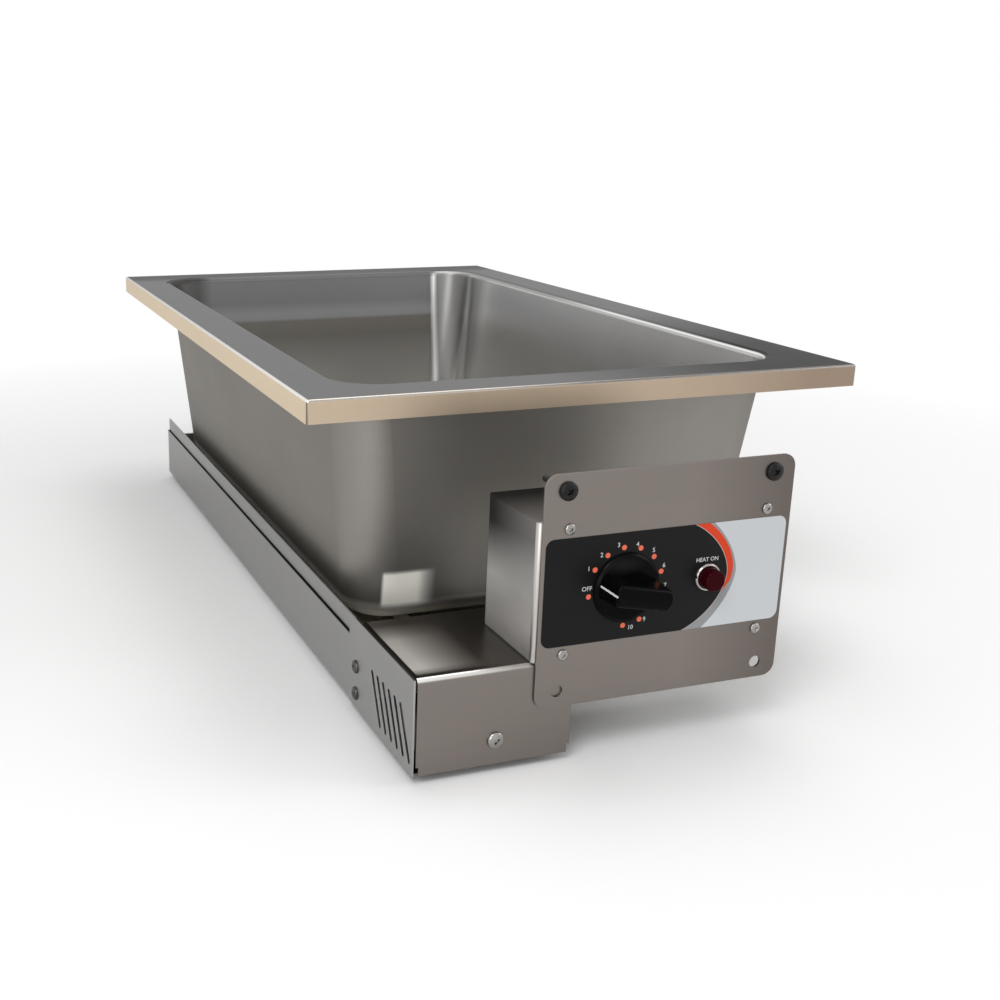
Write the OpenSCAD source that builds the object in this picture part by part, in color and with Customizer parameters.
// Drop-in hot food well: a drawn pan that hangs in a counter by its rim,
// a heat tray under it, a terminal box at the front left and a control
// panel that is screwed to the front edge of the counter.
// The origin is the centre of the rim at the counter's top: +X right,
// +Y to the back, +Z up. Sizes are in millimetres.

/* [Rim] */
// Width of the rim from the basin's mouth to each side edge
rim_side = 33.15; // [32:0.05:49]
// Width of the rim from the basin's mouth to its front and back edges
rim_end = 32.75; // [31:0.05:57]
// Height of the rim's skirt
rim_h = 14; // [10:0.5:20]
// Radius of the rim's outer corners
rim_r = 1.5; // [0.6:0.1:3]
// Radius of the fold between the rim and its skirt
rim_fold_r = 1.6; // [1.3:0.1:3]
// Thickness of the well's sheet
pan_t = 1.2; // [0.8:0.1:1.5]
// Width of the sealing strip under the rim
gasket_w = 9.5; // [6:0.5:12]

/* [Basin] */
// Width of the basin's mouth
basin_w = 302; // [290:1:304]
// Length of the basin's mouth
basin_l = 506; // [490:1:508]
// Depth of the basin below the counter's top
basin_depth = 143.5; // [136:0.5:160]
// Inward lean of each wall from mouth to floor
basin_taper = 16; // [12:1:20]
// Radius of the basin's upright corners
basin_r = 28; // [25:1:34]
// Radius between the basin's walls and floor
floor_r = 11; // [8:0.5:16]
// Radius of the roll round the basin's mouth
mouth_r = 5; // [3:0.5:7]

/* [Counter] */
// Thickness of the counter that the well is set in
counter_t = 38.1; // [34:0.1:42]
// Distance from the rim to the counter's front face
panel_reach = 91.25; // [85:0.25:110]

/* [Heat tray] */
// Thickness of the tray's and the bottom cover's sheet
tray_t = 1.2; // [0.9:0.1:1.5]
// Gap between the basin's floor edge and the tray's walls
tray_gap = 16; // [14:1:20]
// Height of the tray's long walls above the basin's floor
tray_rise = 23.5; // [20:0.5:26]
// Height of the bottom cover's long walls above the basin's floor
cover_rise = 12.3; // [8:0.1:15]
// Height of the tray's end walls above the basin's floor
end_rise = 7.5; // [5:0.5:9]
// Space between the basin's floor and the tray's floor
under_space = 27.1; // [26:0.1:31]

/* [Heater] */
// Diameter of the tubular heating element
element_d = 8; // [6:0.5:9]
// Distance between the element's straight runs
run_pitch = 40; // [36:1:42]
// Space between the element's pins and the tray's front wall
pin_room = 16; // [12:0.5:30]
// Number of straight runs, an even number
run_count = 6; // [4:2:6]
// Thickness of the straps that hold the element up
strap_t = 1; // [0.8:0.1:1.5]
// Width of the straps
strap_w = 18; // [14:1:24]
// Distance between the straps
strap_pitch = 150; // [130:5:160]
// Diameter of the studs welded to the basin's floor
stud_d = 5; // [4:0.5:6]
// Thickness of the insulating blanket
blanket_t = 13.5; // [10:0.5:13.5]
// Diameter of the temperature bulb
bulb_d = 6; // [4:0.5:7]
// Length of the temperature bulb
bulb_l = 90; // [60:5:100]
// Diameter of the safety thermostat
limit_d = 16; // [12:0.5:18]

/* [Terminal box] */
// Width of the terminal box
box_w = 93.3; // [88:0.1:98]
// Depth of the terminal box's left wall
box_l = 100; // [96:1:110]
// Depth of the terminal box in front of the neck
room_l = 80; // [78:1:84]
// Thickness of the terminal box's and the control housing's sheet
box_t = 1; // [0.8:0.1:1.2]
// Height of the terminal box
box_h = 55.9; // [52:0.1:57.9]
// Depth of the terminal box's lid
lid_l = 82; // [78:1:84]
// Radius of the fold along the lid's front edge
lid_fold_r = 3; // [2:0.5:5]
// Gap between the box's side walls and its lid
lid_gap = 3; // [2:0.5:4]
// Number of vent slots in the left wall
vent_count = 6; // [3:1:6]
// Distance between the vent slots
vent_pitch = 8.7; // [8:0.1:9.5]
// Width of a vent slot
vent_w = 4; // [2:0.1:4.2]
// Upright height of a vent slot
vent_h = 26; // [22:1:30]
// Lean of the vent slots from upright
vent_lean = 26.3; // [15:0.1:30]
// Bore of the supply cable's bushing
inlet_d = 16; // [12:0.5:20]

/* [Control panel] */
// Width of the control plate
plate_w = 153.8; // [150:0.2:156]
// Height of the control plate
plate_h = 131.8; // [128:0.2:136]
// Thickness of the control plate
plate_t = 1.4; // [1:0.1:2]
// Radius of the control plate's corners
plate_r = 7.5; // [4:0.5:12]
// Place of the plate's centre, left to right
panel_x = -7.9; // [-9:0.1:-4]
// Place of the plate's centre below the counter's top
panel_drop = 78.1; // [76:0.1:80]
// Distance between the plate's corner holes, left to right
corner_x = 127; // [124:0.5:130]
// Distance between the plate's corner holes, up and down
corner_z = 113; // [110:0.5:114]
// Diameter of the plate's corner holes
corner_d = 7; // [5.5:0.1:8]
// Distance between the plate's small screws, left to right
fixing_x = 122.3; // [119:0.1:124]
// Distance between the plate's small screws, up and down
fixing_z = 71; // [69:0.5:72]
// Width of the printed overlay
overlay_w = 149.3; // [140:0.1:150]
// Height of the printed overlay
overlay_h = 61; // [54:0.5:62]
// Radius of the overlay's corners
overlay_r = 5; // [2:0.5:8]
// Thickness of the overlay
overlay_t = 0.4; // [0.3:0.1:0.6]
// Depth of the control housing behind the plate
housing_l = 60; // [58:1:66]
// Width that the control housing stands out past the plate
housing_over = 2; // [1:0.1:4]
// Radius of the housing's upright folds
housing_r = 2.5; // [1.5:0.1:3]

/* [Knob and lamp] */
// Place of the dial's centre left of the plate's centre
dial_off = 25.4; // [23:0.1:27]
// Drop of the dial's centre below the plate's centre
dial_drop = 0.7; // [-1:0.1:2]
// Diameter of the knob's skirt
knob_d = 39.5; // [38:0.5:42]
// Diameter of the knob's front face
knob_face_d = 35.5; // [34:0.5:37]
// Thickness of the knob's skirt
skirt_h = 2; // [1.6:0.1:3]
// Depth of the knob, skirt and grip together
knob_h = 20; // [18:0.5:24]
// Length of the knob's grip
grip_l = 34.5; // [30:0.5:35]
// Width of the knob's grip at its tip
grip_w = 11.8; // [10:0.1:13]
// Widening of the grip towards its root, on each side
grip_draft = 1.1; // [0:0.1:1.5]
// Turn of the knob from the pointer at nine o'clock, clockwise
knob_turn = 11.5; // [0:0.5:20]
// Diameter of the thermostat's shaft
shaft_d = 6; // [5:0.1:6.5]
// Place of the lamp right of the plate's centre
lamp_off = 26; // [25:0.1:30]
// Drop of the lamp below the plate's centre
lamp_drop = 0.6; // [0:0.1:4]
// Diameter of the lamp's bezel
bezel_d = 16.1; // [15:0.1:19]
// Diameter of the lamp's barrel
barrel_d = 12.6; // [11:0.1:13]

/* [Screws] */
// Diameter of the black counter screws' heads
black_head_d = 11.5; // [9:0.1:13]
// Diameter of the black counter screws' shanks
black_d = 4.2; // [3.5:0.1:4.5]
// Length of the black counter screws behind the plate
black_l = 25; // [16:1:32]
// Diameter of the small screws' heads
small_head_d = 6.2; // [5:0.1:7]
// Diameter of the small screws' shanks
small_d = 3; // [2.5:0.1:3.5]
// Diameter of the terminal box screws' heads
box_head_d = 9.7; // [8:0.1:11]
// Diameter of the side screws' heads
side_head_d = 8; // [6:0.1:9]
// Diameter of the terminal box and side screws' shanks
box_screw_d = 3.5; // [3:0.1:4]

/* [Hidden] */
$fn = 48;

steel = "#a9a8a5";
dark_steel = "#7b7570";
black = "#1d1d1f";

// Heights of the screws' heads and the length of the small screws
black_head_h = 2.8;
small_head_h = 1.6;
box_head_h = 2.4;
side_head_h = 2;
flat_head_d = 5.6;
flat_head_h = 0.8;
flat_room = 0.8;
small_l = 5;
neck_step = 0.4;

// Clearances
touch = 0.3;
fold_in = 0.4;
thread_clear = 0.06;
shaft_clear = 0.05;
screw_clear = 0.25;
eps = 0.02;
cut = 20;

// Basin and rim
corner_steps = 8;
fold_steps = 6;
rim_w = basin_w + 2 * rim_side;
rim_l = basin_l + 2 * rim_end;
mouth_hw = basin_w / 2;
mouth_hl = basin_l / 2;
floor_hw = mouth_hw - basin_taper;
floor_hl = mouth_hl - basin_taper;
floor_z = -basin_depth;
floor_top_z = floor_z + pan_t;
wall_h = rim_h - floor_top_z;
bend_z = floor_top_z + floor_r;
bend_in = basin_taper * (rim_h - bend_z) / wall_h;

// Heat tray and bottom cover
tray_hw = floor_hw + tray_gap + tray_t;
tray_hl = floor_hl + tray_gap + tray_t;
cover_hw = tray_hw + tray_t;
cover_hl = tray_hl + tray_t;
tray_floor_z = floor_z - under_space;
cover_top_z = tray_floor_z - tray_t;
base_z = cover_top_z - tray_t;
tray_wall_z = floor_z + tray_rise;
cover_wall_z = floor_z + cover_rise;
end_z = floor_z + end_rise;

// Counter, terminal box and the neck between the box and the tray
front_y = -(rim_l / 2 + panel_reach);
box_x0 = -(cover_hw + box_t);
box_x1 = box_x0 + box_w;
box_z0 = base_z;
box_z1 = base_z + box_h;
neck_y = front_y + room_l;
neck_x1 = box_x1 - box_t;
lid_x0 = box_x0 + box_t + lid_gap;
lid_x1 = box_x1 - box_t - lid_gap;
lid_set = 2.2;
lid_front_x0 = box_x0 + lid_set;
ledge_w = 9;
ledge_z = box_z1 - box_t;
screw_tab_w = 24;
screw_tab_h = 22;
tab_back = 10;
lid_screw_off = 48.3;
lid_screw_up = 14.2;
lid_screw_x = box_x0 + lid_screw_off;
lid_screw_z = base_z + lid_screw_up;
lid_screw_l = 8;
side_screw_off = 88.5;
side_screw_up = 8.8;
side_screw_pitch = 17;
side_screw_out = 3;
side_screw_y = front_y + side_screw_off;
side_screw_zs = [base_z + side_screw_up, base_z + side_screw_up + side_screw_pitch];
side_screw_l = box_t + 2 * tray_t + side_screw_out;
vent_up = 7.5;
vent_off = 11.5;
vent_z = base_z + vent_up;
vent_y = front_y + vent_off;
inlet_off = 48;
inlet_up = 29;
inlet_y = front_y + inlet_off;
inlet_z = base_z + inlet_up;
bushing_wall = 1.8;
bushing_flange = 2;
bushing_flange_t = 1.5;
bushing_tail = 3;
ridge_h = 1.5;
ridge_out = 1;
notch_w = 1.5;
notch_h = 5;
block_in = 12;
block_off = 26;
block_x0 = box_x0 + block_in;
block_w = 42;
block_y = front_y + block_off;
block_l = 22;
block_h = 20;
block_foot = 8;
block_step = 6;
rib_w = 2;
poles = 3;
clamp_d = 3;
clamp_head_d = 6.5;
clamp_head_h = 2.4;
earth_in = 16;
earth_off = 14;
earth_d = 5;
earth_af = 8;
earth_nut_h = 4;
earth_l = 14;

// Heater
element_z = floor_z - touch - element_d / 2;
strap_z = element_z - element_d / 2 - touch - strap_t;
strap_nut_h = 3.2;
cover_nut_h = 4;
nut_af = 1.6 * stud_d;
stud_tip = 1.2;
stud_x = run_pitch * 2;
stud_ys = [-strap_pitch, 0, strap_pitch];
strap_over = 12;
strap_l = run_pitch * (run_count - 1) + 2 * strap_over;
blanket_clear = 1;
blanket_z = tray_floor_z + blanket_t;
end_run = 22;
pin_d = 3;
insulator_d = element_d;
insulator_l = 12;
pin_l = 8;
run_x0 = -run_pitch * (run_count - 1) / 2;
run_l = 2 * (tray_hl - tray_t - pin_room - pin_l - insulator_l - end_run);
run_front = -run_l / 2;
insulator_y = run_front - end_run - insulator_l;
pin_y = insulator_y - pin_l;
bulb_z = floor_z - touch - bulb_d / 2;
bulb_off = 20;
bulb_y = -bulb_off - bulb_l;
clip_t = 0.8;
clip_w = 10;
clip_in = 15;
clip_wing = 7;
limit_x = run_pitch;
limit_y = -strap_pitch * 0.6;
limit_h = 9;
limit_face = 1;
limit_tag_x = 4;
limit_tag_w = 3;

// Control panel
panel_z = -panel_drop;
plate_y = front_y - plate_t;
overlay_y = plate_y - overlay_t;
housing_x0 = panel_x - plate_w / 2 - housing_over;
housing_x1 = panel_x + plate_w / 2 + housing_over;
housing_z1 = -counter_t - touch;
housing_y1 = front_y + housing_l;
window_w = 106;
window_h = 56;
dial_x = panel_x - dial_off;
dial_z = panel_z - dial_drop;
lamp_x = panel_x + lamp_off;
lamp_z = panel_z - lamp_drop;
bushing_back = 30;
bushing_x = (housing_x0 + box_x1) / 2;
bushing_y = front_y + bushing_back;
bushing_d = 12;
body_w = 44;
body_h = 34;
body_l = 28;
body_y1 = front_y + body_l;
thermo_screw = 14;
screw_deep = 7;
shaft_back = 16;
shaft_room = 1.5;
shaft_hole_d = shaft_d + 2 * shaft_room;
flat_depth = 1;
knob_gap = 0.6;
knob_y = overlay_y - knob_gap;
knob_face_y = knob_y - skirt_h;
knob_tip_y = knob_y - knob_h;
hub_l = 14;
tip_gap = 0.8;
flat_in = 2.5;
socket_y = knob_y - hub_l;
shaft_tip_y = socket_y + tip_gap;
flat_y = knob_y - flat_in;
flat_z = shaft_d / 2 - flat_depth;
grip_r = 3;
skirt_edge = 0.6;
tip_r = 0.8;
long_r = 2.5;
pointer_w = 1.1;
pointer_deep = 0.8;
pointer_proud = 0.15;
pointer_end = tip_r;
pointer_l = knob_h - skirt_h - pointer_end - 0.2;
spring_t = 0.5;
spring_in = 0.5;
spring_y0 = socket_y + tip_gap + touch;
spring_y1 = flat_y - tip_gap;
bezel_t = 1.6;
bezel_wall = 1.8;
bezel_slope = 0.6;
lens_d = bezel_d - 2 * bezel_wall;
lens_side = 5.5;
lens_round = 1.2;
barrel_l = 26;
lamp_nut_t = 3;
lamp_nut_wall = 3;
blade_l = 8;
blade_w = 6.2;
blade_t = 0.8;
blade_x = 13;
blade_z = 7;
wire_d = 2.6;
tube_d = 1.6;

// Routes of the leads and of the thermostat's tube
neck_mid_y = (neck_y - cover_hl) / 2;
block_back = block_y + block_l;
lead_up = 11;
lead_start = 14;
lead_short = 8;
lead_side = 22;
lead_turn = 6;
lead_bend = 4;
lead_apart = 2;
lead_reach = 12;
lead_step = 5;
lead_back = 8;
tube_in = 6;
tube_off = 22;
tube_drop = 9;
tube_side = 3;
tube_reach = 12;
tube_clear = 2;
tube_turn = 5;
tube_end = 16;
block_exit_z = box_z0 + box_t + lead_up;
blade_y = body_y1 + blade_l + touch;

// A rounded rectangle of points at height z, anticlockwise from above
function ring(hw, hl, r, z) = [
    for (c = [0:3]) for (k = [0:corner_steps])
        let (a = 90 * c + 90 * k / corner_steps,
             sx = c == 0 || c == 3 ? 1 : -1,
             sy = c < 2 ? 1 : -1)
        [sx * (hw - r) + r * cos(a), sy * (hl - r) + r * sin(a), z]
];

// Rings from the basin's floor to its mouth, out is 0 inside and pan_t outside
function basin_rings(out) = [
    for (k = [0:fold_steps])
        let (a = -90 + 90 * k / fold_steps,
             off = (floor_r + out) * cos(a) - floor_r)
        ring(mouth_hw - bend_in + off, mouth_hl - bend_in + off,
             basin_r + off, bend_z + (floor_r + out) * sin(a)),
    for (k = [0:fold_steps])
        let (a = 180 - 90 * k / fold_steps,
             off = mouth_r + (mouth_r - out) * cos(a))
        ring(mouth_hw + off, mouth_hl + off, basin_r + off,
             rim_h - mouth_r + (mouth_r - out) * sin(a))
];

// Rings from the rim's top over its fold and down the skirt, and back inside
function rim_rings() = [
    for (k = [0:3])
        let (a = 90 - 30 * k, off = rim_fold_r * (cos(a) - 1))
        ring(rim_w / 2 + off, rim_l / 2 + off, rim_r, rim_h - rim_fold_r * (1 - sin(a))),
    ring(rim_w / 2, rim_l / 2, rim_r, 0),
    ring(rim_w / 2 - pan_t, rim_l / 2 - pan_t, rim_r, 0),
    ring(rim_w / 2 - pan_t, rim_l / 2 - pan_t, rim_r, rim_h - pan_t - fold_in),
    ring(rim_w / 2 - pan_t - fold_in, rim_l / 2 - pan_t - fold_in, rim_r, rim_h - pan_t)
];

function reverse(list) = [for (i = [len(list) - 1:-1:0]) list[i]];

// A closed skin through a list of rings, with flat ends
module skin(rings) {
    n = len(rings[0]);
    m = len(rings);
    side = [
        for (i = [0:m - 2]) for (j = [0:n - 1])
            let (a = i * n + j, b = i * n + (j + 1) % n)
            each [[a, b, b + n], [a, b + n, a + n]]
    ];
    first = [for (j = [n - 1:-1:0]) j];
    last = [for (j = [0:n - 1]) (m - 1) * n + j];
    polyhedron(points = [for (r = rings) each r], faces = concat([first], side, [last]));
}

function unit(v) = v / norm(v);
function square_to(v, t) = unit(v - (v * t) * t);
function end_of(list) = len(list) - 1;

// Points of a route whose corners are rounded by a curve of reach r
function rounded(route, r, steps = 4) = [
    route[0],
    for (i = [1:end_of(route) - 1])
        let (b = route[i],
             p = b + r * unit(route[i - 1] - b),
             q = b + r * unit(route[i + 1] - b))
        for (k = [0:steps])
            let (u = k / steps)
            (1 - u) * (1 - u) * p + 2 * u * (1 - u) * b + u * u * q,
    route[end_of(route)]
];

// Directions along a route, and sideways vectors carried along it without twist
function along(path) = [
    for (i = [0:end_of(path)])
        unit(path[min(i + 1, end_of(path))] - path[max(i - 1, 0)])
];
function sideways(t, start) = [
    for (i = 0, s = square_to(start, t[0]); i < len(t);
         s = square_to(s, t[min(i + 1, end_of(t))]), i = i + 1) s
];

// A round tube of diameter d swept along a path
module tube(path, d, sides = 10, start = [0.11, 0.23, 1]) {
    t = along(path);
    s = sideways(t, start);
    skin([
        for (i = [0:end_of(path)])
            let (up = cross(t[i], s[i]))
            [for (k = [0:sides - 1])
                let (a = -360 * k / sides)
                path[i] + d / 2 * (cos(a) * s[i] + sin(a) * up)]
    ]);
}

// A block between two corners
module block(a, b) {
    translate(a) cube(b - a);
}

// A flat outline with round corners
module round_plate(w, h, r) {
    square([w - 2 * r, h], center = true);
    square([w, h - 2 * r], center = true);
    for (x = [-1, 1], y = [-1, 1])
        translate([x * (w / 2 - r), y * (h / 2 - r)]) circle(r);
}

// An outline in X and Z, from y0 forward by t
module upright(x, y0, z, t) {
    translate([x, y0, z]) rotate([90, 0, 0]) linear_extrude(t) children();
}

// A cylinder along Y, from y0 forward by l
module bar_y(x, y0, z, d, l) {
    translate([x, y0, z]) rotate([90, 0, 0]) cylinder(d = d, h = l);
}

// A screw along Y: head in front of y0, shank behind it, with a cross recess
module screw_y(x, y0, z, head_d, head_h, d, l) {
    low_h = head_h * 0.55;
    crown_d = head_d * 0.82;
    recess = [head_d * 0.5, head_h * 0.7, head_d * 0.11];
    difference() {
        union() {
            bar_y(x, y0, z, head_d, low_h);
            bar_y(x, y0 - low_h, z, crown_d, head_h - low_h);
            bar_y(x, y0 + l, z, d, l + eps);
        }
        for (turn = [45, 135])
            translate([x, y0 - head_h, z]) rotate([0, turn, 0]) cube(recess, center = true);
    }
}

// A hole along Y through the front walls, the plate and the overlay
module front_hole(x, z, d) {
    bar_y(x, front_y + cut / 2, z, d, cut);
}

// The upright hole for the bushing between the terminal box and the housing
module bushing_hole() {
    translate([bushing_x, bushing_y, box_z1 - cut / 2])
        cylinder(d = bushing_d + 2 * bushing_wall + 2 * screw_clear, h = cut);
}

// A hexagon nut on a stud, from z0 down by h
module nut_down(x, y, z0, h, af, d) {
    translate([x, y, z0 - h]) difference() {
        cylinder(d = af / cos(30), h = h, $fn = 6);
        translate([0, 0, -1]) cylinder(d = d + 2 * thread_clear, h = h + 2);
    }
}

module at_studs() {
    for (x = [-stud_x, stud_x], y = stud_ys) translate([x, y, 0]) children();
}

module stud_holes(z0, z1, d) {
    at_studs() translate([0, 0, z0 - 1]) cylinder(d = d, h = z1 - z0 + 2);
}

module well_pan() {
    color(steel) skin(concat(basin_rings(0), rim_rings(), reverse(basin_rings(pan_t))));
}

module rim_gasket() {
    out = pan_t + fold_in + touch;
    color(black) linear_extrude(rim_h - pan_t) difference() {
        square([rim_w - 2 * out, rim_l - 2 * out], center = true);
        square([rim_w - 2 * out - 2 * gasket_w, rim_l - 2 * out - 2 * gasket_w], center = true);
    }
}

module weld_studs() {
    bottom = base_z - cover_nut_h - stud_tip;
    color(steel) at_studs() translate([0, 0, bottom])
        cylinder(d = stud_d, h = floor_z - bottom);
}

module strap_nuts() {
    color(steel) for (x = [-stud_x, stud_x], y = stud_ys)
        nut_down(x, y, strap_z, strap_nut_h, nut_af, stud_d);
}

module cover_nuts() {
    color(steel) for (x = [-stud_x, stud_x], y = stud_ys)
        nut_down(x, y, base_z, cover_nut_h, nut_af, stud_d);
}

module heating_element() {
    half = run_l / 2;
    bend = run_pitch / 2;
    turn_steps = 8;
    path = [
        [run_x0, run_front - end_run, element_z],
        for (i = [0:run_count - 2])
            let (side = i % 2 == 0 ? 1 : -1, x = run_x0 + run_pitch * (i + 0.5))
            for (k = [0:turn_steps])
                let (a = 180 - 180 * k / turn_steps)
                [x + bend * cos(a), side * (half - bend + bend * sin(a)), element_z],
        [-run_x0, run_front - end_run, element_z]
    ];
    color("#5a4a42") tube(path, element_d, 12, [0, 0, 1]);
}

module element_insulators() {
    color("#e8e2d4") for (x = [run_x0, -run_x0]) difference() {
        bar_y(x, insulator_y + insulator_l, element_z, insulator_d, insulator_l);
        bar_y(x, insulator_y + insulator_l + 1, element_z,
              pin_d + 2 * thread_clear, insulator_l + 2);
    }
}

module element_pins() {
    color("#c7c2b8") for (x = [run_x0, -run_x0])
        bar_y(x, insulator_y + insulator_l, element_z, pin_d, insulator_l + pin_l);
}

module element_straps() {
    color(steel) difference() {
        for (y = stud_ys)
            block([-strap_l / 2, y - strap_w / 2, strap_z],
                  [strap_l / 2, y + strap_w / 2, strap_z + strap_t]);
        stud_holes(strap_z, strap_z + strap_t, stud_d + 2 * screw_clear);
    }
}

module insulation_blanket() {
    hw = tray_hw - tray_t - blanket_clear;
    hl = tray_hl - tray_t - blanket_clear;
    color("#d8cfa8") difference() {
        block([-hw, -hl, tray_floor_z], [hw, hl, blanket_z]);
        stud_holes(tray_floor_z, blanket_z, stud_d + 3);
    }
}

// A tray with a neck at its front left, z0 its underside, side_z and front_z its walls' tops
module necked_tray(hw, hl, x1, z0, side_z, front_z) {
    t = tray_t;
    difference() {
        union() {
            block([-hw, -hl, z0], [hw, hl, z0 + t]);
            block([-hw, neck_y, z0], [x1, -hl + t, z0 + t]);
            block([-hw, neck_y, z0], [-hw + t, hl, side_z]);
            block([hw - t, -hl, z0], [hw, hl, side_z]);
            block([-hw, hl - t, z0], [hw, hl, front_z]);
            block([x1 - t, -hl, z0], [hw, -hl + t, front_z]);
            block([x1 - t, neck_y, z0], [x1, -hl + t, front_z]);
        }
        stud_holes(z0, z0 + t, stud_d + 2 * screw_clear);
        for (z = side_screw_zs) side_hole(z);
    }
}

module side_hole(z) {
    translate([box_x0 - 1, side_screw_y, z]) rotate([0, 90, 0])
        cylinder(d = box_screw_d + 2 * screw_clear, h = side_screw_l + 4);
}

module heat_tray() {
    color(steel) necked_tray(tray_hw, tray_hl, neck_x1 - tray_t, cover_top_z, tray_wall_z, end_z);
}

module bottom_cover() {
    color(steel) necked_tray(cover_hw, cover_hl, neck_x1, base_z, cover_wall_z, end_z);
}

module neck_lid() {
    color(steel) block([-tray_hw + tray_t, neck_y, end_z],
                       [neck_x1, -cover_hl, end_z + tray_t]);
}

module temperature_bulb() {
    color("#b87a4b") bar_y(0, bulb_y + bulb_l, bulb_z, bulb_d, bulb_l);
}

module bulb_clips() {
    r = bulb_d / 2 + touch;
    color(steel) for (y = [bulb_y + clip_in, bulb_y + bulb_l - clip_in - clip_w])
        upright(0, y + clip_w, 0, clip_w) difference() {
            union() {
                translate([0, bulb_z]) circle(r + clip_t);
                translate([-r - clip_t, bulb_z]) square([2 * (r + clip_t), floor_z - bulb_z]);
                translate([-r - clip_t - clip_wing, floor_z - clip_t])
                    square([2 * (r + clip_t + clip_wing), clip_t]);
            }
            translate([0, bulb_z]) circle(r);
            translate([-r, bulb_z]) square([2 * r, floor_z - bulb_z + 1]);
        }
}

module safety_thermostat() {
    color("#3a3431") translate([limit_x, limit_y, 0]) {
        translate([0, 0, floor_z - limit_h]) cylinder(d = limit_d, h = limit_h - limit_face);
        translate([0, 0, floor_z - limit_face])
            cylinder(d = limit_d - 2 * limit_face, h = limit_face);
        for (x = [-limit_tag_x, limit_tag_x])
            block([x - limit_tag_w / 2, -blade_t / 2, floor_z - limit_h - limit_tag_w],
                  [x + limit_tag_w / 2, blade_t / 2, floor_z - limit_h]);
    }
}

module vent_slot(y) {
    translate([box_x0, y, vent_z + vent_h / 2]) rotate([-vent_lean, 0, 0]) {
        cube([4 * box_t, vent_w, vent_h / cos(vent_lean)], center = true);
        for (s = [-1, 1])
            translate([0, 0, s * vent_h / cos(vent_lean) / 2]) rotate([0, 90, 0])
                cylinder(d = vent_w, h = 4 * box_t, center = true);
    }
}

module terminal_box() {
    t = box_t;
    wall_front = front_y + lid_fold_r;
    back_y = neck_y - 2 * t;
    inside0 = box_x0 + t;
    inside1 = box_x1 - t;
    color(steel) difference() {
        union() {
            block([box_x0, wall_front, box_z0], [box_x1, neck_y - touch, box_z0 + t]);
            block([box_x0, front_y, box_z0], [inside0, front_y + box_l, box_z1]);
            block([inside1, wall_front, box_z0], [box_x1, neck_y + tab_back, box_z1]);
            block([inside0, back_y, end_z + tray_t], [inside1, back_y + t, ledge_z]);
            block([inside0, wall_front, ledge_z - t], [inside0 + ledge_w, back_y + t, ledge_z]);
            block([inside1 - ledge_w, wall_front, ledge_z - t], [inside1, back_y + t, ledge_z]);
            block([lid_screw_x - screw_tab_w / 2, front_y + t, box_z0],
                  [lid_screw_x + screw_tab_w / 2, front_y + 2 * t, box_z0 + screw_tab_h]);
            block([lid_screw_x - screw_tab_w / 2, front_y + t, box_z0],
                  [lid_screw_x + screw_tab_w / 2, wall_front + t, box_z0 + t]);
        }
        for (i = [0:vent_count - 1]) vent_slot(vent_y + vent_pitch * i);
        for (z = side_screw_zs) side_hole(z);
        front_hole(lid_screw_x, lid_screw_z, box_screw_d + 2 * screw_clear);
        translate([box_x1 - cut / 2, inlet_y, inlet_z]) rotate([0, 90, 0])
            cylinder(d = inlet_d + 2 * bushing_wall + 2 * screw_clear, h = cut);
        bushing_hole();
    }
}

module terminal_box_lid() {
    t = box_t;
    fold_y = front_y + lid_fold_r;
    fold_z = box_z1 - lid_fold_r;
    color(dark_steel) difference() {
        union() {
            block([lid_x0, fold_y, ledge_z], [lid_x1, front_y + lid_l, box_z1]);
            block([lid_front_x0, front_y, box_z0], [box_x1, front_y + t, fold_z]);
            translate([lid_front_x0, fold_y, fold_z]) rotate([90, 0, 90])
                linear_extrude(box_x1 - lid_front_x0) intersection() {
                    difference() {
                        circle(lid_fold_r);
                        circle(lid_fold_r - t);
                    }
                    translate([-lid_fold_r - 1, 0]) square(lid_fold_r + 1);
                }
        }
        front_hole(lid_screw_x, lid_screw_z, box_screw_d + 2 * screw_clear);
        for (x = [lid_front_x0, box_x1])
            block([x - notch_w, front_y - 1, box_z0 - 1],
                  [x + notch_w, front_y + t + 1, box_z0 + notch_h]);
        bushing_hole();
    }
}

module lid_screw() {
    color(steel) screw_y(lid_screw_x, front_y, lid_screw_z, box_head_d, box_head_h,
                         box_screw_d, lid_screw_l);
}

module side_screws() {
    color("#55524e") for (z = side_screw_zs)
        translate([box_x0, side_screw_y, z]) rotate([0, 0, -90])
            screw_y(0, 0, 0, side_head_d, side_head_h, box_screw_d, side_screw_l);
}

module terminal_block() {
    pole_w = block_w / poles;
    floor0 = box_z0 + box_t;
    color("#e6e3da") difference() {
        union() {
            block([block_x0, block_y, floor0],
                  [block_x0 + block_w, block_y + block_l, floor0 + block_foot]);
            block([block_x0, block_y + block_step, floor0],
                  [block_x0 + block_w, block_y + block_l - block_step, floor0 + block_h - block_step]);
            for (i = [0:poles])
                let (x = block_x0 + i * (block_w - rib_w) / poles)
                block([x, block_y, floor0], [x + rib_w, block_y + block_l, floor0 + block_h]);
        }
        for (i = [0:poles - 1])
            translate([block_x0 + (i + 0.5) * pole_w, block_y + block_l / 2, floor0 + block_step])
                cylinder(d = clamp_d + 2 * thread_clear, h = block_h);
    }
}

module terminal_clamps() {
    pole_w = block_w / poles;
    top = box_z0 + box_t + block_h - block_step;
    color("#c9b36a") for (i = [0:poles - 1])
        translate([block_x0 + (i + 0.5) * pole_w, block_y + block_l / 2, top]) {
            cylinder(d = clamp_head_d, h = clamp_head_h);
            translate([0, 0, -block_step - 1]) cylinder(d = clamp_d, h = block_step + 2);
        }
}

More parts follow.
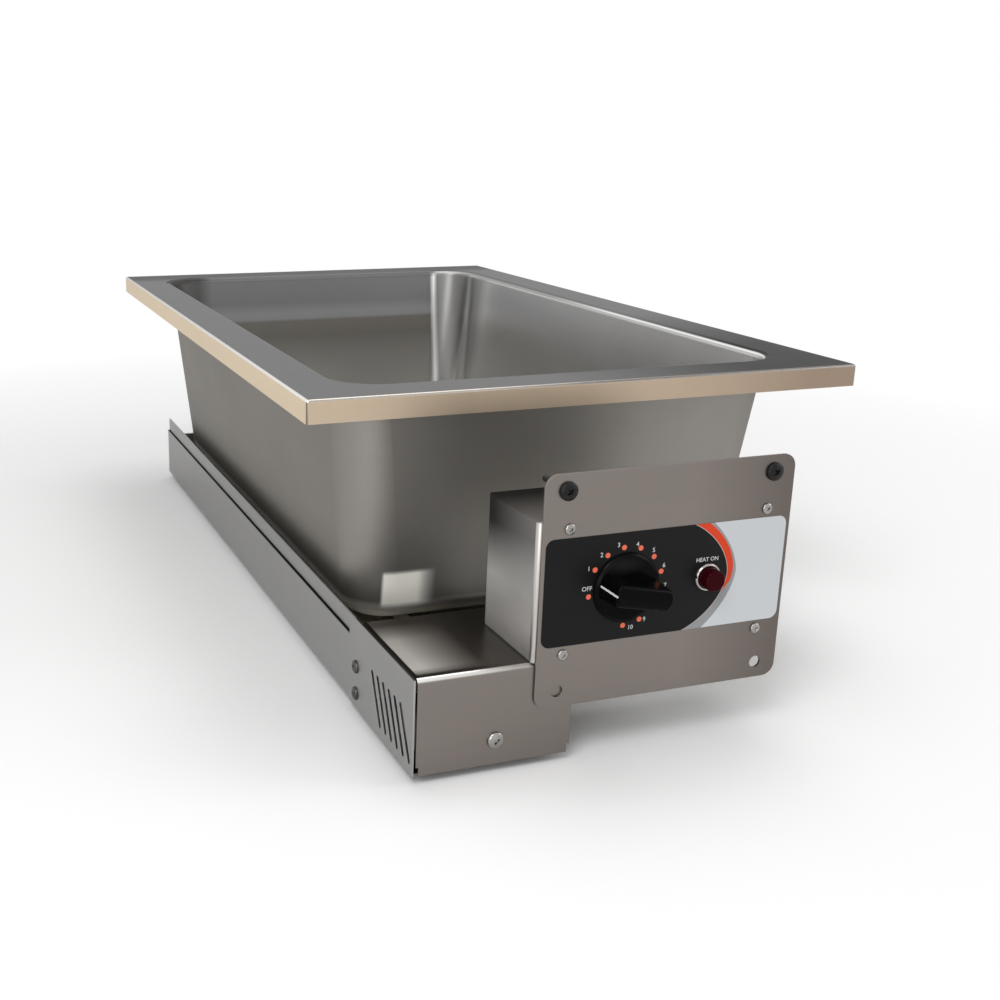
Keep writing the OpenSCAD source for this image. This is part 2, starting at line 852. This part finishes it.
module earth_stud() {
    color("#c9b36a") translate([box_x1 - earth_in, front_y + earth_off, box_z0 + box_t]) {
        cylinder(d = earth_af / cos(30), h = earth_nut_h, $fn = 6);
        cylinder(d = earth_d, h = earth_l);
    }
}

// A snap bushing along Z with a flange at its top and a ridge under the sheet
module snap_bushing(bore, grip) {
    rotate_extrude() {
        translate([bore / 2, -grip - bushing_tail]) square([bushing_wall, grip + bushing_tail + eps]);
        translate([bore / 2, 0]) square([bushing_wall + bushing_flange, bushing_flange_t]);
        translate([bore / 2, -grip - ridge_h - touch]) square([bushing_wall + ridge_out, ridge_h]);
    }
}

module supply_bushing() {
    color(black) translate([box_x1, inlet_y, inlet_z]) rotate([0, 90, 0])
        snap_bushing(inlet_d, box_t);
}

module panel_bushing() {
    color(black) translate([bushing_x, bushing_y, box_z1 + box_t])
        snap_bushing(bushing_d, 3 * box_t);
}

module control_housing() {
    w = housing_x1 - housing_x0;
    h = housing_z1 - box_z1;
    mid = [(housing_x0 + housing_x1) / 2, (front_y + housing_y1) / 2];
    color(steel) difference() {
        translate([mid[0], mid[1], box_z1]) linear_extrude(h)
            round_plate(w, housing_l, housing_r);
        translate([mid[0], mid[1], box_z1 + box_t]) linear_extrude(h - 2 * box_t)
            round_plate(w - 2 * box_t, housing_l - 2 * box_t, housing_r - box_t);
        block([panel_x - window_w / 2, front_y - 1, panel_z - window_h / 2],
              [panel_x + window_w / 2, front_y + box_t + 1, panel_z + window_h / 2]);
        for (x = [-1, 1], z = [-1, 1])
            front_hole(panel_x + x * fixing_x / 2, panel_z + z * fixing_z / 2,
                       small_d + 2 * screw_clear);
        bushing_hole();
    }
}

module control_plate() {
    color(dark_steel) difference() {
        upright(panel_x, front_y, panel_z, plate_t) round_plate(plate_w, plate_h, plate_r);
        for (x = [-1, 1], z = [-1, 1]) {
            front_hole(panel_x + x * corner_x / 2, panel_z + z * corner_z / 2, corner_d);
            front_hole(panel_x + x * fixing_x / 2, panel_z + z * fixing_z / 2,
                       small_d + 2 * screw_clear);
        }
        for (s = [-1, 1])
            front_hole(dial_x + s * thermo_screw, dial_z, small_d + 2 * screw_clear);
        front_hole(dial_x, dial_z, shaft_hole_d);
        front_hole(lamp_x, lamp_z, barrel_d + 2 * screw_clear);
    }
}

module panel_overlay() {
    color(black) difference() {
        upright(panel_x, plate_y, panel_z, overlay_t) round_plate(overlay_w, overlay_h, overlay_r);
        for (s = [-1, 1])
            front_hole(dial_x + s * thermo_screw, dial_z, flat_head_d + 2 * flat_room);
        front_hole(dial_x, dial_z, shaft_hole_d);
        front_hole(lamp_x, lamp_z, barrel_d + 2 * screw_clear);
    }
}

module plate_screws() {
    color(steel) for (x = [-1, 1], z = [-1, 1])
        screw_y(panel_x + x * fixing_x / 2, plate_y, panel_z + z * fixing_z / 2,
                small_head_d, small_head_h, small_d, plate_t + box_t + small_l);
}

// The counter screws have a thicker neck inside the plate
module counter_screws() {
    color(black) for (s = [-1, 1]) {
        x = panel_x + s * corner_x / 2;
        z = panel_z + corner_z / 2;
        screw_y(x, plate_y, z, black_head_d, black_head_h, black_d, plate_t + black_l);
        bar_y(x, front_y, z, black_d + 2 * neck_step, plate_t + eps);
    }
}

module thermostat_body() {
    color("#d9d4c8") difference() {
        block([dial_x - body_w / 2, front_y, dial_z - body_h / 2],
              [dial_x + body_w / 2, body_y1, dial_z + body_h / 2]);
        bar_y(dial_x, front_y + shaft_back + 1, dial_z, shaft_d + 2 * shaft_clear, shaft_back + 2);
        for (s = [-1, 1])
            bar_y(dial_x + s * thermo_screw, front_y + screw_deep, dial_z,
                  small_d + 2 * thread_clear, screw_deep + 1);
    }
}

module thermostat_terminals() {
    color("#c9b36a") for (x = [-blade_x, blade_x], z = [-blade_z, blade_z])
        block([dial_x + x - blade_w / 2, body_y1, dial_z + z - blade_t / 2],
              [dial_x + x + blade_w / 2, body_y1 + blade_l, dial_z + z + blade_t / 2]);
}

module thermostat_screws() {
    color(steel) for (s = [-1, 1])
        screw_y(dial_x + s * thermo_screw, plate_y, dial_z, flat_head_d, flat_head_h,
                small_d, plate_t + small_l + 1);
}

module at_knob() {
    translate([dial_x, 0, dial_z]) rotate([0, knob_turn, 0]) children();
}

module thermostat_shaft() {
    back_y = front_y + shaft_back;
    color(steel) difference() {
        bar_y(dial_x, back_y, dial_z, shaft_d, back_y - shaft_tip_y);
        at_knob() block([-shaft_d, shaft_tip_y - 1, flat_z],
                        [shaft_d, flat_y + touch, shaft_d]);
    }
}

// The D-shaped hole that the knob fits the shaft with
module shaft_socket() {
    d = shaft_d + 2 * shaft_clear;
    difference() {
        bar_y(0, knob_y + 1, 0, d, knob_y + 1 - socket_y);
        block([-d, socket_y - 1, flat_z + shaft_clear], [d, flat_y, d]);
    }
}

// The grip's outline across its length: leaning sides and rounded long edges
module grip_outline(h, root_w) {
    polygon([[-root_w / 2, -1], [root_w / 2, -1], [grip_w / 2, h - long_r], [-grip_w / 2, h - long_r]]);
    translate([0, h - long_r]) square([grip_w - 2 * long_r, 2 * long_r], center = true);
    for (s = [-1, 1]) translate([s * (grip_w / 2 - long_r), h - long_r]) circle(long_r);
}

module control_knob() {
    r0 = knob_d / 2;
    r1 = knob_face_d / 2;
    root_w = grip_w + 2 * grip_draft;
    h = knob_h - skirt_h + eps;
    color(black) at_knob() difference() {
        union() {
            translate([0, knob_y, 0]) rotate([90, 0, 0]) rotate_extrude($fn = 96)
                polygon([[0, 0], [r0, 0], [r0, skirt_edge], [r1, skirt_h], [0, skirt_h]]);
            translate([0, knob_face_y + eps, 0]) rotate([90, 0, 0]) intersection() {
                linear_extrude(h) round_plate(grip_l, root_w, grip_r);
                rotate([90, 0, 0]) linear_extrude(root_w + 2, center = true)
                    translate([0, h / 2 - tip_r])
                        round_plate(grip_l + eps, h + 2 * tip_r, tip_r);
                rotate([90, 0, 90]) linear_extrude(grip_l + 2, center = true)
                    grip_outline(h, root_w);
            }
        }
        shaft_socket();
        translate([-grip_l / 2 - 1, knob_tip_y + pointer_end, -pointer_w / 2])
            cube([1 + pointer_deep, pointer_l, pointer_w]);
        block([-shaft_d / 2, spring_y0 - touch, flat_z],
              [shaft_d / 2, spring_y1 + touch, flat_z + 2 * spring_t + shaft_clear]);
    }
}

module knob_pointer() {
    color("white") at_knob()
        translate([-grip_l / 2 - pointer_proud, knob_tip_y + pointer_end, -pointer_w / 2])
            cube([pointer_proud + pointer_deep, pointer_l, pointer_w]);
}

module knob_spring() {
    z0 = flat_z + 2 * shaft_clear;
    color(steel) at_knob()
        block([-shaft_d / 2 + spring_in, spring_y0, z0],
              [shaft_d / 2 - spring_in, spring_y1, z0 + spring_t]);
}

module lamp_bezel() {
    color("#d8d6d2") translate([lamp_x, overlay_y, lamp_z]) rotate([90, 0, 0])
        rotate_extrude($fn = 72) polygon([
            [lens_d / 2 + thread_clear, 0], [bezel_d / 2, 0], [bezel_d / 2, bezel_t * 0.4],
            [bezel_d / 2 - bezel_slope, bezel_t], [lens_d / 2 + thread_clear, bezel_t]
        ]);
}

module lamp_lens() {
    r = lens_d / 2;
    color("#4a0a10") translate([lamp_x, overlay_y, lamp_z]) rotate([90, 0, 0])
        rotate_extrude($fn = 72) polygon([
            [0, 0], [r, 0],
            for (a = [0:18:90])
                [r - lens_round * (1 - cos(a)), bezel_t + lens_side + lens_round * sin(a)],
            [0, bezel_t + lens_side + lens_round]
        ]);
}

module lamp_barrel() {
    color("#8a1018") bar_y(lamp_x, front_y + barrel_l, lamp_z, barrel_d,
                           barrel_l + plate_t + overlay_t);
}

module lamp_nut() {
    color(black) difference() {
        bar_y(lamp_x, front_y + lamp_nut_t, lamp_z, barrel_d + 2 * lamp_nut_wall, lamp_nut_t);
        bar_y(lamp_x, front_y + lamp_nut_t + 1, lamp_z, barrel_d + 2 * thread_clear,
              lamp_nut_t + 2);
    }
}

module element_lead_left() {
    x = block_x0 + block_w / poles / 2;
    color("#b8b2a2") tube(rounded([
        [x, block_back + touch, block_exit_z],
        [x, block_back + lead_start, block_exit_z],
        [run_x0, neck_mid_y - lead_start, element_z],
        [run_x0, pin_y - touch, element_z]
    ], lead_turn), wire_d);
}

module element_lead_right() {
    x = block_x0 + block_w / poles * 1.5;
    low_z = blanket_z + wire_d / 2 + touch;
    color("#b8b2a2") tube(rounded([
        [x, block_back + touch, block_exit_z],
        [x, block_back + lead_start, block_exit_z],
        [x + lead_side, neck_mid_y, low_z],
        [x + lead_side + lead_turn, pin_y - lead_turn, low_z],
        [-run_x0 - lead_start, pin_y - lead_turn, low_z],
        [-run_x0, pin_y - lead_turn - 1, element_z],
        [-run_x0, pin_y - touch, element_z]
    ], lead_turn / 2), wire_d);
}

module thermostat_lead() {
    x = block_x0 + block_w / poles * 2.5;
    side_x = bushing_x - lead_apart;
    end_x = dial_x - blade_x;
    end_z = dial_z - blade_z;
    color("#b8b2a2") tube(rounded([
        [x, block_back + touch, block_exit_z],
        [x, block_back + lead_short, block_exit_z],
        [side_x, bushing_y, box_z1 - lead_reach],
        [side_x, bushing_y, box_z1 + lead_reach],
        [end_x - lead_step, blade_y + lead_back, end_z - blade_z],
        [end_x, blade_y + lead_back, end_z],
        [end_x, blade_y, end_z]
    ], lead_bend), wire_d);
}

module lamp_lead() {
    end_x = dial_x + blade_x;
    end_z = dial_z - blade_z;
    color("#b8b2a2") tube(rounded([
        [lamp_x, front_y + barrel_l + touch, lamp_z],
        [lamp_x, blade_y + lead_back, lamp_z],
        [end_x, blade_y + lead_back, end_z],
        [end_x, blade_y, end_z]
    ], lead_bend), wire_d);
}

module capillary_tube() {
    x = dial_x - body_w / 2 + tube_in;
    y = front_y + tube_off;
    side_x = bushing_x + tube_side;
    neck_x = box_x1 - tube_reach;
    low_z = blanket_z + tube_d / 2 + touch;
    over_z = low_z + wire_d + tube_clear;
    color("#b87a4b") tube(rounded([
        [x, y, dial_z - body_h / 2 - touch],
        [x, y, dial_z - body_h / 2 - tube_drop],
        [side_x, bushing_y, box_z1 + tube_drop],
        [side_x, bushing_y, box_z1 - tube_reach],
        [neck_x, neck_y - tube_reach, over_z + tube_clear],
        [neck_x, -cover_hl + tube_side, over_z],
        [neck_x, pin_y + tube_turn, over_z],
        [0, run_front - end_run + tube_side, low_z],
        [0, bulb_y - tube_end, low_z],
        [0, bulb_y - touch, bulb_z]
    ], tube_turn), tube_d, 8);
}

well_pan();
rim_gasket();
weld_studs();
strap_nuts();
cover_nuts();
heating_element();
element_insulators();
element_pins();
element_straps();
insulation_blanket();
heat_tray();
bottom_cover();
neck_lid();
temperature_bulb();
bulb_clips();
capillary_tube();
safety_thermostat();
terminal_box();
terminal_box_lid();
lid_screw();
side_screws();
terminal_block();
terminal_clamps();
earth_stud();
supply_bushing();
panel_bushing();
control_housing();
control_plate();
panel_overlay();
plate_screws();
counter_screws();
thermostat_body();
thermostat_terminals();
thermostat_screws();
thermostat_shaft();
control_knob();
knob_pointer();
knob_spring();
lamp_bezel();
lamp_lens();
lamp_barrel();
lamp_nut();
element_lead_left();
element_lead_right();
thermostat_lead();
lamp_lead();
